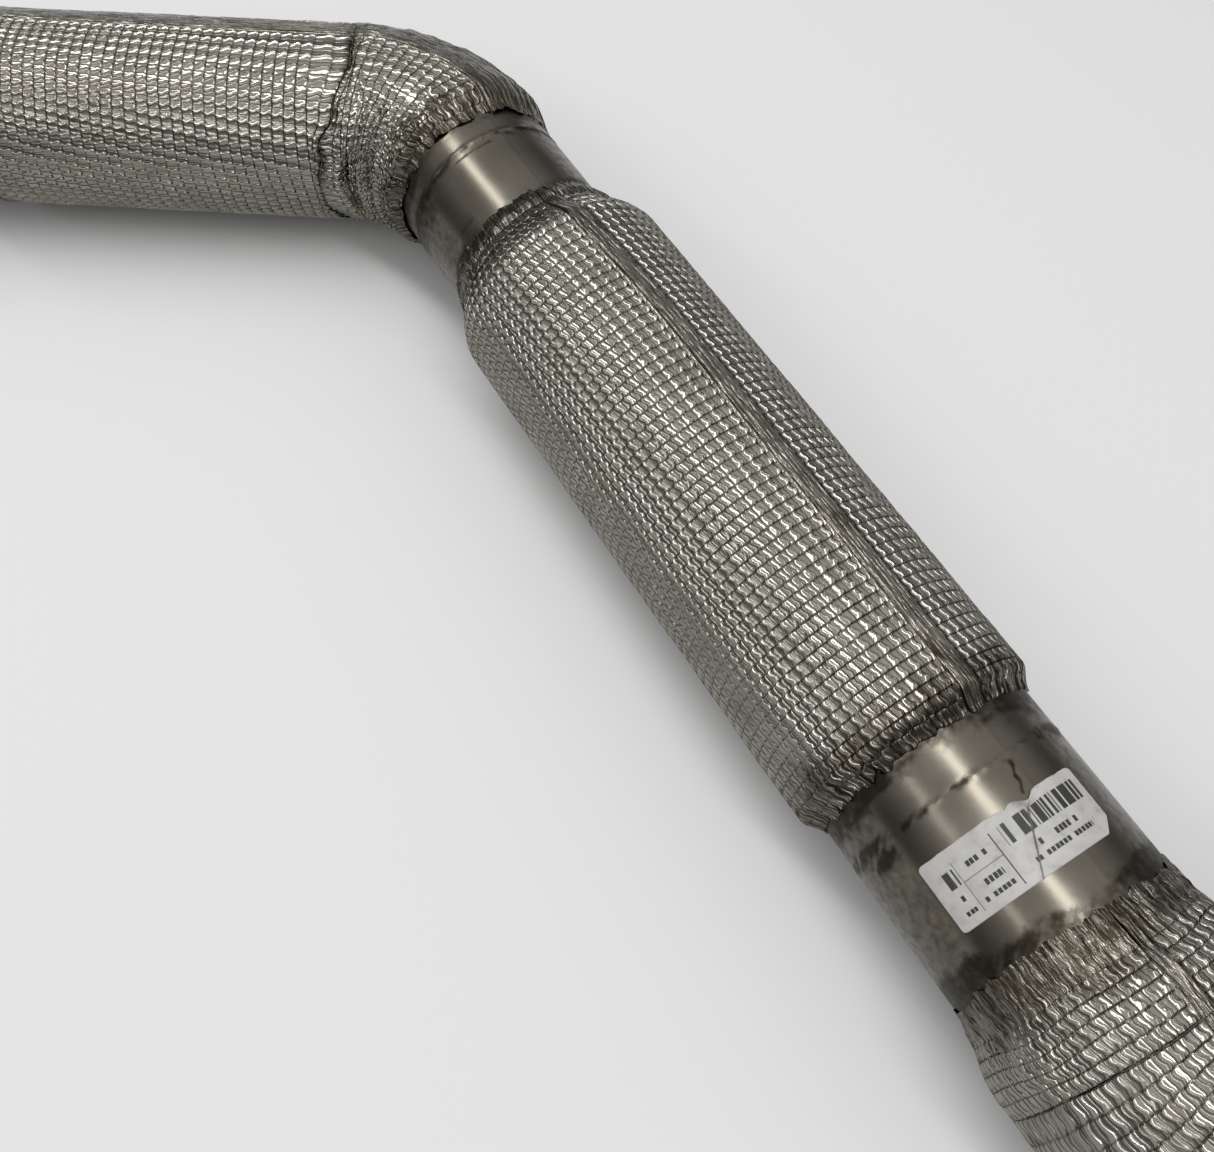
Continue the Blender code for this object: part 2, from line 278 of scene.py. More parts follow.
# The smooth overlap along the last edge: its usual width, the step of its points, and the
# distances of the points near its two sides.
STRIP = 9.0 * MM
STRIP_STEP = 1.3 * MM
STRIP_SIDE_COLUMNS = np.array([0.0, 0.35, 0.75, 1.2]) * MM
STRIP_LIFT = 0.45 * MM
# The margin along the first edge, and how far inside it and the overlap the pattern is full.
MARGIN = 0.8 * MM
PATTERN_FADE = 1.2 * MM
# How far the long edges and the joints dip, and within what distance of the edges.
EDGE_TUCK = 0.6 * MM
EDGE_FADE = 0.7 * MM
JOINT_TUCK = 0.3 * MM
# How far the foil may dip below its outline, and how much further on a collar.
LOWEST_DENT = 0.95 * MM
LOWEST_GATHER = 2 * MM
# How far from an end its waviness is felt, and a distance that counts as nowhere near one.
END_FADE = 14 * MM
ELSEWHERE = 1.0
# Over what length from the start a seam turns, and how far past a bend its creases reach.
SWEEP_LENGTH = 110 * MM
CREASE_REACH = 20 * MM
# Folds sharper than this are shaded as edges.
SHARP_FOLD = math.radians(44)
# The lit top of the pipe, with painted shade on the sides outside it: its middle, its half width,
# and over what angle it ends.
LIT_TOP_ANGLE = math.radians(15)
LIT_TOP_HALF = math.radians(33)
LIT_TOP_FADE = math.radians(16)


def foil_columns(width, strip):
    """Distances across a half shell: a thin margin, the pattern's rows and a smooth overlap.

    Returns the distance, how many pattern rows it lies past the margin, and how much of the
    pattern shows there.
    """
    patterned = width - MARGIN - strip
    rows = round(patterned / ROW)
    pitch = patterned / rows
    row_index = np.repeat(np.arange(rows), len(ROW_COLUMNS))
    place = np.tile(ROW_COLUMNS, rows)
    overlap = np.arange(0, strip - STRIP_SIDE_COLUMNS[-1], STRIP_STEP)
    across = np.concatenate([
        MARGIN_COLUMNS * MARGIN,
        MARGIN + (row_index + place) * pitch,
        width - strip + overlap,
        width - strip + STRIP_SIDE_COLUMNS[1:-1],
        width - STRIP_SIDE_COLUMNS,
    ])
    across.sort()
    inner = np.minimum(across - MARGIN, width - strip - across) / PATTERN_FADE
    return across, (across - MARGIN) / pitch, ease(inner + 0.2)


def emboss(wave, row, worn, seed):
    """The pattern's height: swaying crests, and pads parted by thin grooves."""
    phase, place = wave - np.floor(wave), row - np.floor(row)
    crest = np.clip(1 - np.abs(place - 0.5) / CREST_SHARE, 0, 1) ** 0.8
    wave_groove = near(np.minimum(phase, 1 - phase), 0, WAVE_GROOVE_SHARE)
    row_groove = near(np.minimum(place, 1 - place), 0, ROW_GROOVE_SHARE)
    turn = np.clip(1.5 * np.cos(math.tau * (phase - 0.3)), -1, 1) + 0.25
    turn = turn + 0.9 * (hashed(np.floor(wave), np.floor(row), seed) - 0.5)
    lean = np.sin(math.tau * place) * turn
    return worn * (
        CREST * crest * (1 - 0.1 * wave_groove)
        - WAVE_GROOVE * wave_groove * (1 - 0.7 * crest)
        - ROW_GROOVE * row_groove
        - SWELL * np.cos(math.tau * place)
        + LEAN * lean
    )


def sway(wave, row):
    """How far the crests sway across the pipe, in units of SWAY."""
    bent = np.sin(math.tau * wave) + 0.18 * np.sin(2 * math.tau * wave + 1)
    return bent * (0.3 + 0.7 * np.sin(math.pi * row) ** 2)


def flank_shade(angle):
    """Painted shade: from 0 along the lit top of the pipe to 1 on its sides and underside."""
    off = np.abs(half_turn(angle - LIT_TOP_ANGLE))
    return ease((off - LIT_TOP_HALF) / LIT_TOP_FADE)


def joint_wave(angle):
    """How far the joint between two jackets strays along the pipe, round it."""
    return 9.5 * MM * np.cos(2 * angle) + 1.8 * MM * noise(angle * 5, 0 * angle, 77)


def fold_depth(station, angle, seed):
    """Creases across the foil at the bends, deepest on the inside of each, from -1 to 1."""
    first_half = station < (FRONT_BEND_END + REAR_BEND_START) / 2
    inside = np.where(first_half, np.sin(angle), -np.sin(angle))
    bend_start = np.where(first_half, FRONT_BEND_START, REAR_BEND_START)
    bend_end = np.where(first_half, FRONT_BEND_END, REAR_BEND_END)
    bend = (station > bend_start - CREASE_REACH) & (station < bend_end + CREASE_REACH)
    along = station / (3.6 * MM) + 0.6 * noise(angle * 3, 0 * angle, seed)
    return bend * noise(along, angle * 1.3, seed + 50) * ease(0.25 + inside)


class Foil:
    """The points of one half shell, as they lie before the foil is bent out of shape.

    s is the station and v the distance across the foil. wave and row count the waves and rows
    of the pattern, and shows is how much of it shows. window fades from 1 midway across to 0 at
    the long edges. gathered is how far the foil is drawn together on a collar. edge, to_joint
    and to_collar are the distances to the nearer long edge, joint and collar.
    """

    def __init__(self, rings, seam, side, seed, strip, joints):
        self.seed, self.joints = seed, joints
        self.right = side == "right"
        self.lead = seam if self.right else seam + math.pi
        self.start, self.end = rings[0][0], rings[-1][0]
        self.middle = (self.start + self.end) / 2
        self.body_r = max(radius for _, radius in rings)
        neck_r = min(radius for _, radius in rings)
        self.width = math.pi * self.body_r
        self.collars = rings[0][1] < self.body_r, rings[-1][1] < self.body_r

        across, row, shows = foil_columns(self.width, strip)
        waves = max(round((self.end - self.start) / WAVE), 1)
        wave = np.append((np.arange(waves)[:, None] + WAVE_STATIONS).ravel(), waves)
        along = self.start + wave / waves * (self.end - self.start)
        self.s, self.v = np.meshgrid(along, across, indexing="ij")
        self.wave = np.broadcast_to(wave[:, None], self.s.shape)
        self.row = np.broadcast_to(row, self.s.shape)
        self.window = np.sin(math.pi * self.v / self.width)

        self.outline = radius_at(self.s, rings)
        neck = (self.body_r - self.outline) / max(self.body_r - neck_r, MM)
        self.gathered = ease((neck - 0.3) / 0.4)
        self.shows = np.broadcast_to(shows, self.s.shape) * (1 - 0.75 * ease((neck - 0.5) / 0.4))
        self.edge = np.minimum(self.v, self.width - self.v)
        self.on_strip = ease((self.v - (self.width - strip)) / EDGE_FADE)
        self.to_ends = self.s - self.start, self.end - self.s
        self.to_joint = self.nearer(joints)
        self.to_collar = self.nearer(self.collars)

    def nearer(self, counts):
        """The distance to the nearer of the two ends, or to the only one that counts."""
        first, last = self.to_ends
        return np.minimum(np.where(counts[0], first, ELSEWHERE),
                          np.where(counts[1], last, ELSEWHERE))

    def patches(self, along, across, offset, kind=rough_noise):
        """Noise over the foil, of its own seed, with bumps of a length and a width in mm."""
        return patches(self.s, self.v, along, across, self.seed + offset, kind)

    def angles(self, tilt, stretch, seam_sweep):
        """The rows sway with the waves, slope, stray and turn with the seam."""
        share = self.v / self.width
        at_seam = 1 - share if self.right else share
        turning = 1 - ease((self.s - self.start) / SWEEP_LENGTH)
        sweep = math.radians(seam_sweep) * turning * at_seam ** 2
        drift = tilt * (self.s - self.middle) + stretch * 5 * MM * self.patches(34, 34, 0)
        swayed = self.v + SWAY * sway(self.wave, self.row) * self.shows
        return self.lead + sweep + (swayed + drift * self.window) / self.body_r

    def tightness(self, angle):
        """How hard the foil is pressed down at its nearer joint, which varies round the pipe."""
        closed = 0.4 + 0.6 * ease(0.5 + 1.3 * noise(angle * 2.4, 0 * angle, 91))
        return (0.35 + 0.65 * np.where(self.s < self.middle, *self.joints)) * closed

    def radii(self, angle, crumple, folds):
        """The pattern, dents, streaks where the foil is plain, creases and gathered pleats."""
        worn = 1 + 0.24 * self.patches(17, 13, 6, noise)
        pattern = emboss(self.wave, self.row, worn, self.seed) * self.shows
        dents = self.patches(13, 11, 9) + 0.5 * self.patches(4.5, 6, 10, noise)
        dents *= crumple * MM * ease(self.to_joint / (5 * MM)) * ease(self.edge / (3 * MM))
        streaks = 0.22 * MM * self.patches(18, 1.7, 12) + 0.12 * MM * self.patches(5, 3, 15)
        pleats = 0.85 * MM * self.patches(14, 3.4, 20) + 0.55 * MM * self.patches(4, 4, 24)
        creases = folds * MM * fold_depth(self.s, angle, self.seed)
        radius = self.outline + pattern + dents + creases
        radius += streaks * (1 - self.shows) + pleats * self.gathered
        radius -= JOINT_TUCK * self.tightness(angle) * ease(1 - self.to_joint / (1.8 * MM))
        lowest = self.outline - LOWEST_DENT - LOWEST_GATHER * self.gathered
        lift = STRIP_LIFT * self.on_strip - EDGE_TUCK * ease(1 - self.edge / EDGE_FADE)
        return np.maximum(radius, lowest) + lift

    def stations(self, angle, stretch):
        """The waves stray, the joints wander, and the collars end in a ragged edge."""
        stray = stretch * 3 * MM * self.patches(28, 28, 3, noise) * self.window
        station = self.s + stray * ease(self.to_joint / (9 * MM))
        ragged = rough_noise(self.v / (5 * MM), 0 * self.v + self.seed, self.seed + 30)
        for distance, collar, joint in zip(self.to_ends, self.collars, self.joints):
            shift = 2.2 * MM * ragged if collar else joint * joint_wave(angle)
            station += shift * ease(1 - distance / END_FADE)
        return station

    def marks(self, angle):
        """Heat marks on the collars and the overlap, soot in the joints, and painted shade on the
        flanks.
        """
        patch = self.patches(11, 11, 40)
        singe = ease(1.25 - self.to_collar / (24 * MM) + 0.4 * patch)
        singe += 0.5 * self.on_strip * (1 + 0.7 * patch)
        soot_and_shade = 2.0 * self.tightness(angle) ** 2 * ease(1.3 - self.to_joint / (2.4 * MM))
        soot_and_shade += 0.8 * ease(1.0 - self.to_collar / (6 * MM) + 0.5 * patch)
        soot_and_shade += 0.9 * ease(1 - (self.edge - 0.2 * MM) / (0.9 * MM)) * (self.v > self.width / 2)
        # Painted shade on the sides and underside, carried with the soot.
        soot_and_shade += 0.34 * flank_shade(angle)
        return np.clip(singe, 0, 1), np.clip(soot_and_shade, 0, 2)


def add_foil(name, rings, seam, side, seed, crumple=0.25, tilt=0.0, stretch=0.2, strip=STRIP,
             seam_sweep=0.0, joints=(0, 0), folds=0.0):
    """One half shell of embossed foil, between the first and last of its rings.

    crumple is the depth of its dents in mm, tilt the slope of the pattern's rows, stretch how
    far they stray, strip the width of the smooth overlap along its last edge, and seam_sweep
    the degrees the seam turns near the start. joints says for each end how much it wanders and
    tucks in where it meets the next jacket, with 0 for an end that meets none. folds is the
    depth in mm of the creases on the inside of a bend.
    """
    foil = Foil(rings, seam, side, seed, strip, joints)
    angle = foil.angles(tilt, stretch, seam_sweep)
    radius = foil.radii(angle, crumple, folds)
    points = skin_points(foil.stations(angle, stretch), angle, radius)
    singe, soot_and_shade = foil.marks(angle)
    values = {"singe": singe, "soot_and_shade": soot_and_shade, "shows": foil.shows, "wave": foil.wave,
              "row": foil.row}
    mesh = mesh_from(name, points, grid_faces(*foil.s.shape), values)
    mesh.set_sharp_from_angle(angle=SHARP_FOLD)
    add_piece(name, mesh, FOIL_MATERIAL, name.replace("_foil", "_shell"))


# ---- materials ----------------------------------------------------------------------------

# The base colours of the shaders.
# Of these, the foil's groove colour is painted shade and its crest colour a painted highlight; the
# foil's soot colour and the metal's stain colour also serve as painted shade on the flanks.
FOIL_GROOVE_SHADE = (0.03, 0.026, 0.02)
FOIL_DULL = (0.24, 0.226, 0.192)
FOIL_BRIGHT = (0.325, 0.309, 0.268)
FOIL_CREST_HIGHLIGHT = (0.64, 0.62, 0.565)
FOIL_SINGED = (0.066, 0.056, 0.041)
FOIL_SOOT_AND_SHADE = (0.022, 0.017, 0.012)
TUBE_DULL = (0.134, 0.122, 0.099)
TUBE_BRIGHT = (0.171, 0.157, 0.130)
FLANGE_DULL = (0.21, 0.201, 0.188)
FLANGE_BRIGHT = (0.27, 0.26, 0.244)
METAL_STAIN_AND_SHADE = (0.028, 0.023, 0.016)
PAPER_DULL = (0.38, 0.372, 0.358)
PAPER_BRIGHT = (0.47, 0.462, 0.447)
PAPER_GRIME = (0.09, 0.085, 0.08)
INK = (0.022, 0.021, 0.020)
FIBRE_DULL = (0.21, 0.185, 0.145)
FIBRE_BRIGHT = (0.36, 0.33, 0.275)
FLOOR_GREY = (0.66, 0.66, 0.66)


def new_material(name, roughness, metallic):
    """A material with its nodes, its links and its one shader."""
    material = bpy.data.materials.new(name)
    material.use_nodes = True
    shader = material.node_tree.nodes["Principled BSDF"]
    shader.inputs["Roughness"].default_value = roughness
    shader.inputs["Metallic"].default_value = metallic
    return material, material.node_tree.nodes, material.node_tree.links, shader


def noise_node(nodes, links, scale, detail=4.0):
    """Noise that is fixed to the object."""
    texture = nodes.new("ShaderNodeTexNoise")
    texture.inputs["Scale"].default_value = scale
    texture.inputs["Detail"].default_value = detail
    places = nodes.new("ShaderNodeTexCoord")
    links.new(places.outputs["Object"], texture.inputs["Vector"])
    return texture.outputs["Fac"]


def value_node(nodes, name):
    """A value that the mesh carries at its points."""
    value = nodes.new("ShaderNodeAttribute")
    value.attribute_name = name
    return value.outputs["Fac"]


def cloud_node(nodes, links, cloud, dull, bright):
    """A colour that drifts between two as the cloud's noise does."""
    ramp = nodes.new("ShaderNodeValToRGB")
    places = ((0.3, dull), (0.7, bright))
    for element, (place, colour) in zip(ramp.color_ramp.elements, places):
        element.position = place
        element.color = (*colour, 1)
    links.new(cloud, ramp.inputs["Fac"])
    return ramp.outputs["Color"]


def mix_node(nodes, links, factor, first, second):
    """From the first colour to the second, which is given as numbers."""
    mix = nodes.new("ShaderNodeMix")
    mix.data_type = "RGBA"
    links.new(factor, mix.inputs["Factor"])
    links.new(first, mix.inputs["A"])
    mix.inputs["B"].default_value = (*second, 1)
    return mix.outputs["Result"]


def sum_node(nodes, links, operation, *values):
    """A Math node over numbers and the outputs of other nodes."""
    node = nodes.new("ShaderNodeMath")
    node.operation = operation
    for socket, value in zip(node.inputs, values):
        if isinstance(value, (int, float)):
            socket.default_value = value
        else:
            links.new(value, socket)
    return node.outputs["Value"]


def range_node(nodes, links, value, inputs, outputs, kind="SMOOTHSTEP"):
    """Carries the value from one range to another, and holds it inside."""
    node = nodes.new("ShaderNodeMapRange")
    node.interpolation_type = kind
    node.inputs["From Min"].default_value = inputs[0]
    node.inputs["From Max"].default_value = inputs[1]
    node.inputs["To Min"].default_value = outputs[0]
    node.inputs["To Max"].default_value = outputs[1]
    links.new(value, node.inputs["Value"])
    return node.outputs["Result"]


def fade_node(nodes, links, value, full, none):
    """1 where the value is at full, and 0 from none on."""
    return range_node(nodes, links, value, (none, full), (0, 1))


def bump_node(nodes, links, height, distance, strength, shader):
    """Roughens the shader's surface by a height."""
    bump = nodes.new("ShaderNodeBump")
    bump.inputs["Distance"].default_value = distance
    bump.inputs["Strength"].default_value = strength
    links.new(height, bump.inputs["Height"])
    links.new(bump.outputs["Normal"], shader.inputs["Normal"])


def foil_material():
    """Foil with painted shade in its grooves, painted highlights on lit crests, heat marks, and
    soot with painted shade on the flanks.
    """
    material, nodes, links, shader = new_material("embossed_foil", 0.17, 1.0)
    wave, row = value_node(nodes, "wave"), value_node(nodes, "row")
    shows, singe = value_node(nodes, "shows"), value_node(nodes, "singe")
    soot_and_shade_share = value_node(nodes, "soot_and_shade")

    def product(first, second):
        return sum_node(nodes, links, "MULTIPLY", first, second)

    def product_plus(first, second, rest):
        return sum_node(nodes, links, "MULTIPLY_ADD", first, second, rest)

    def fade(value, full, none):
        return fade_node(nodes, links, value, full, none)

    # Places in the pattern: 0 at a groove and 0.5 halfway to the next, where a row has its crest.
    row_share = sum_node(nodes, links, "PINGPONG", row, 0.5)
    wave_share = sum_node(nodes, links, "PINGPONG", wave, 0.5)
    crest = fade(row_share, 0.5, 0.43)
    pad = sum_node(nodes, links, "SUBTRACT", 1, crest)
    row_line = fade(row_share, 0.0, 0.07)
    wave_line = product(product(fade(wave_share, 0.0, 0.09), pad), 0.85)
    line = product(sum_node(nodes, links, "MAXIMUM", row_line, wave_line), shows)

    # Streaks that run along the pipe.
    places = nodes.new("ShaderNodeCombineXYZ")
    links.new(product(wave, 0.45), places.inputs["X"])
    links.new(product(row, 3.2), places.inputs["Y"])
    texture = nodes.new("ShaderNodeTexNoise")
    texture.inputs["Scale"].default_value = 1.0
    links.new(places.outputs["Vector"], texture.inputs["Vector"])
    streak = texture.outputs["Fac"]

    cloud = noise_node(nodes, links, 60)
    bright = cloud_node(nodes, links, cloud, FOIL_DULL, FOIL_BRIGHT)
    # Painted highlight on the crests along the lit top, away from soot and painted shade.
    crest_highlight = product(product(fade(row_share, 0.47, 0.40), shows), fade(soot_and_shade_share, 0.02, 0.30))
    highlighted = mix_node(nodes, links, crest_highlight, bright, FOIL_CREST_HIGHLIGHT)
    # Painted shade in the groove lines, broken up by the cloud.
    groove_shade = product(line, fade(cloud, 0.75, 0.15))
    groove_shaded = mix_node(nodes, links, groove_shade, highlighted, FOIL_GROOVE_SHADE)
    stain = product_plus(singe, 0.45, product(singe, fade(streak, 0.35, 0.62)))
    tint = mix_node(nodes, links, stain, groove_shaded, FOIL_SINGED)
    # Soot, with painted shade on the flanks mixed in.
    soot_and_shade = product(soot_and_shade_share, fade(streak, 0.2, 0.75))
    soot_shaded = mix_node(nodes, links, soot_and_shade, tint, FOIL_SOOT_AND_SHADE)
    links.new(soot_shaded, shader.inputs["Base Color"])

    # Fine relief: sharper crests and grooves, pleats on plain foil, and grain.
    plain = sum_node(nodes, links, "SUBTRACT", 1, shows)
    grain = noise_node(nodes, links, 700, 2.0)
    relief = product(product(crest, 0.3), shows)
    relief = product_plus(line, -0.7, relief)
    relief = product_plus(product(streak, plain), 6.0, relief)
    relief = product_plus(grain, 0.12, relief)
    bump_node(nodes, links, relief, 0.25 * MM, 1.0, shader)
    return material


def stained(nodes, links, colour, dark, low, high):
    """The colour, darkened where the piece's stain, broken up by noise, is strong; on the tubes
    the stain also holds painted shade on the flanks.
    """
    speck = noise_node(nodes, links, 260, 5.0)
    stain = sum_node(nodes, links, "ADD", speck, value_node(nodes, "stain"))
    share = fade_node(nodes, links, stain, high, low)
    return mix_node(nodes, links, share, colour, dark), share


def metal_material(name, dull, bright, roughness):
    """Bare metal with a clouded sheen, duller and darker where it is stained, and on the tubes
    also where painted shade lies on the flanks.
    """
    material, nodes, links, shader = new_material(name, 0.3, 1.0)
    cloud = noise_node(nodes, links, 35, 6.0)
    clean = cloud_node(nodes, links, cloud, dull, bright)
    colour, share = stained(nodes, links, clean, METAL_STAIN_AND_SHADE, 0.65, 1.6)
    links.new(colour, shader.inputs["Base Color"])
    rough = range_node(nodes, links, cloud, (0, 1), roughness, "LINEAR")
    rougher = sum_node(nodes, links, "MULTIPLY_ADD", share, 0.25, rough)
    links.new(rougher, shader.inputs["Roughness"])
    grain = noise_node(nodes, links, 500, 3.0)
    bump_node(nodes, links, grain, 0.1 * MM, 0.12, shader)
    return material


def label_material():
    """Printed paper, soiled where its stain is strong."""
    material, nodes, links, shader = new_material("part_label_paper", 0.55, 0.0)
    cloud = noise_node(nodes, links, 120, 5.0)
    paper = cloud_node(nodes, links, cloud, PAPER_DULL, PAPER_BRIGHT)
    printed = mix_node(nodes, links, value_node(nodes, "ink"), paper, INK)
    soiled, _ = stained(nodes, links, printed, PAPER_GRIME, 0.45, 1.3)
    links.new(soiled, shader.inputs["Base Color"])
    grain = noise_node(nodes, links, 900, 3.0)
    bump_node(nodes, links, grain, 0.1 * MM, 0.2, shader)
    return material


def mat_material():
    """Pale matt fibre, for the mats that can be glimpsed at the jackets' joints."""
    material, nodes, links, shader = new_material("fibre_mat", 0.95, 0.0)
    cloud = noise_node(nodes, links, 400, 8.0)
    fibre = cloud_node(nodes, links, cloud, FIBRE_DULL, FIBRE_BRIGHT)
    links.new(fibre, shader.inputs["Base Color"])
    bump_node(nodes, links, cloud, MM, 0.6, shader)
    return material


def floor_material():
    """A plain pale floor."""
    material, _, _, shader = new_material("studio_floor", 0.9, 0.0)
    shader.inputs["Base Color"].default_value = (*FLOOR_GREY, 1)
    return material


FOIL_MATERIAL = foil_material()
TUBE_MATERIAL = metal_material("stained_tube", TUBE_DULL, TUBE_BRIGHT, (0.17, 0.31))
FLANGE_MATERIAL = metal_material("turned_flange", FLANGE_DULL, FLANGE_BRIGHT, (0.26, 0.36))
LABEL_MATERIAL = label_material()
MAT_MATERIAL = mat_material()


# ---- bare tube ----------------------------------------------------------------------------

TUBE_STEPS = 320
FINE_STEP = 0.8 * MM
COARSE_STEP = 9 * MM
# The two rings of weld round the tube, the seam weld along it, and how they stand out.
FRONT_WELD = middle(61.5)
REAR_WELD = middle(452)
SEAM_WELD = math.radians(-9.5)
WELD_HEIGHT = 0.3 * MM
WELD_SPREAD = 1.3 * MM
SEAM_HEIGHT = 0.10 * MM
SEAM_SPREAD = 0.9 * MM
UNEVENNESS = 0.035 * MM
SHARP_RIM = math.radians(50)
INSIDE_STAIN = 0.5
# The bands of tube that no jacket covers, with a little more at each end.
BARE_BANDS = [(0, inlet(240)), (middle(30), middle(125)), (middle(415), middle(540)),
              (outlet(145), ROUTE_END)]


def front_band_marks(mm, degrees, blot, broad, fleck):
    """The band by the front elbow: its weld, the streaks by it and soot at both foil edges."""
    total = 0.95 * near(mm, 62.8 + 1.6 * broad, 2.0) * ease(0.6 + 0.8 * blot + 0.6 * fleck)
    total += 0.55 * near(mm, 64 + 2 * broad, 3.0) * between(degrees, -42, -4) * ease(blot + 0.6)
    total += 0.8 * near(mm, 66.5, 0.9) * between(degrees, -2, 27, 4)
    total += 0.75 * near(mm, 97.5, 1.3) * between(degrees, 37, 52, 4)
    collar = ease((mm - 100 - 3 * broad) / 7) * (mm < 140)
    total += collar * (0.62 + 0.3 * blot - 0.3 * between(degrees, -5, 30))
    total += 0.7 * ease((58 - mm + 2.5 * broad) / 9) * (mm > 20) * (0.8 + 0.4 * fleck)
    total += 0.35 * near(mm, 68 + 2 * broad, 7) * between(degrees, 28, 120)
    return total


def label_band_marks(mm, degrees, blot, broad, fleck):
    """The label's band: its weld, blots round it, soot at both foil edges and a hairline crack."""
    total = 0.95 * near(mm, 451.5 + 2 * broad, 2.9) * ease(0.5 + 0.9 * blot + 0.7 * fleck)
    total += 0.55 * ease((446 - mm + 3 * broad) / 12) * (mm > 400) * (0.75 + 0.5 * fleck)
    total += 0.9 * near(mm, 457.5, 2.6) * between(degrees, 56, 78) * ease(blot + 0.75)
    total += 0.5 * near(mm, 437, 1.6) * between(degrees, -40, -6) * ease(0.7 + blot)
    total += 0.8 * near(mm, 434, 3.0) * between(degrees, 40, 76)
    total += 0.5 * near(mm, 442, 1.8) * between(degrees, -48, -16) * ease(0.5 + blot)
    last = near(mm, 508.5 + 2 * broad, 4.5) * (0.55 + 0.5 * blot)
    total += last * (0.55 + 0.6 * between(degrees, 15, 95) - 0.4 * between(degrees, -8, 15))
    total += 0.8 * ease((mm - 505 + 3 * broad) / 9) * (mm < 540) * (0.75 + 0.5 * fleck)
    total += 0.4 * near(mm, 432, 4) * (0.7 + 0.5 * blot)
    crack = -8.5 + (mm - 455) * 0.33 + 0.5 * np.sin(mm)
    total += 1.6 * between(mm, 454.5, 468, 1.5) * near(degrees, crack, 0.9)
    return total


def stain_and_shade_map(station, angle):
    """Heat marks and weld soot on the bare bands, and painted shade on the tube's flanks, from 0
    to 1.

    The marks on the two bands of the middle leg are placed in mm after the front corner, and
    in degrees from straight up. blot, broad and fleck are noises of three sizes.
    """
    mm = (station - middle(0)) / MM
    degrees = np.degrees(half_turn(angle))
    blot = turned_patches(station, angle, 5, 7, 3)
    broad = turned_patches(station, angle, 14, 18, 5)
    fleck = turned_patches(station, angle, 2.2, 2.6, 7)
    total = front_band_marks(mm, degrees, blot, broad, fleck)
    total += label_band_marks(mm, degrees, blot, broad, fleck)
    total += 0.55 * ease((inlet(250) - station) / (22 * MM) + 0.25 * blot) * (station < inlet(240))
    total += 0.44 * ease((station - outlet(155)) / (22 * MM)) * ease(0.6 + blot)
    # Painted shade on the tube's sides and underside.
    total += 0.5 * flank_shade(angle)
    return np.clip(total, 0, 1)


def visible_stations(start, end):
    """Stations along a tube: fine on the bare bands and coarse under the jackets."""
    found = [start]
    while found[-1] < end - 0.1 * MM:
        here = found[-1]
        fine = any(low - COARSE_STEP < here < high for low, high in BARE_BANDS)
        found.append(min(here + (FINE_STEP if fine else COARSE_STEP), end))
    return np.array(found)


def add_tube(name, start, end, outer_r, node):
    """A length of tube, with its wall, plain ends, seam weld and weld beads."""
    along = visible_stations(start, end)
    around = np.linspace(0, math.tau, TUBE_STEPS, endpoint=False)
    s, a = np.meshgrid(along, around, indexing="ij")
    ripple = 1 + 0.2 * np.sin(a * 44 + 2 * np.sin(a * 5))
    from_seam = half_turn(a - SEAM_WELD) * SMALL_R
    outer = outer_r + UNEVENNESS * turned_patches(s, a, 30, 22, 8)
    outer += SEAM_HEIGHT * near(from_seam, 0, SEAM_SPREAD)
    for weld in (FRONT_WELD, REAR_WELD):
        outer += WELD_HEIGHT * near(s, weld, WELD_SPREAD) * ripple
    station = np.concatenate([s, s[::-1]])
    angle = np.concatenate([a, a])
    radius = np.concatenate([outer, outer[::-1] - WALL])
    # The stain holds heat marks, soot and painted shade on the flanks.
    stain = stain_and_shade_map(station, angle)
    stain[len(s):] = INSIDE_STAIN
    faces = grid_faces(*station.shape, wrap=True)
    mesh = mesh_from(name, skin_points(station, angle, radius), faces, {"stain": stain})
    mesh.set_sharp_from_angle(angle=SHARP_RIM)
    add_piece(name, mesh, TUBE_MATERIAL, node)


# ---- paper label --------------------------------------------------------------------------

# The angle of the label's upper end, and the station of its upstream side.
LABEL_TOP = math.radians(54)
LABEL_START = middle(467.6)
LABEL_LENGTH = 77 * MM
LABEL_WIDTH = 28.5 * MM
LABEL_ROWS = 310
LABEL_COLUMNS = 116
LABEL_CORNER = 2.4 * MM
LABEL_LIFT = 0.75 * MM
LABEL_TUCK = 0.25 * MM
# The print, in mm. A line of dashes has a start and an end down the label, a centre across it
# and half its height.
BAR_WIDTH = 0.62
DASH_PITCH = 1.9
DASHED_LINES = [
    (15, 28.5, 9, 1.1), (17, 27.5, 18, 1.2), (15, 28.5, 23.2, 0.9),
    (6.6, 9.6, 18, 1.1), (4.5, 11.2, 23.6, 0.9),
    (44, 63, 17.2, 1.2), (39, 67.5, 22.0, 1.0),
]


def label_ink(down, across):
    """Plain bars, rules and dashes, as on a part label but with nothing to read."""
    down, across = down / MM, across / MM

    def box(d0, d1, a0, a1):
        return (down > d0) & (down < d1) & (across > a0) & (across < a1)

    def bars(d0, d1, a0, a1, seed):
        stripe = hashed(np.floor(down / BAR_WIDTH), 0 * down, seed) > 0.42
        return box(d0, d1, a0, a1) & stripe

    ink = bars(34.5, 73, 4.3, 12.6, 4) | bars(5.5, 11.8, 7, 13.8, 9)
    ink |= box(12.8, 13.2, 5, 25.8) | box(30.6, 31.0, 4.5, 26.5) | box(13, 31, 13.4, 13.8)
    for d0, d1, centre, tall in DASHED_LINES:
        dash = hashed(np.floor(down / DASH_PITCH), 0 * down + centre, 6) > 0.22
        gap = (down / DASH_PITCH) % 1 > 0.2
        ink |= box(d0, d1, centre - tall, centre + tall) & dash & gap
    return ink


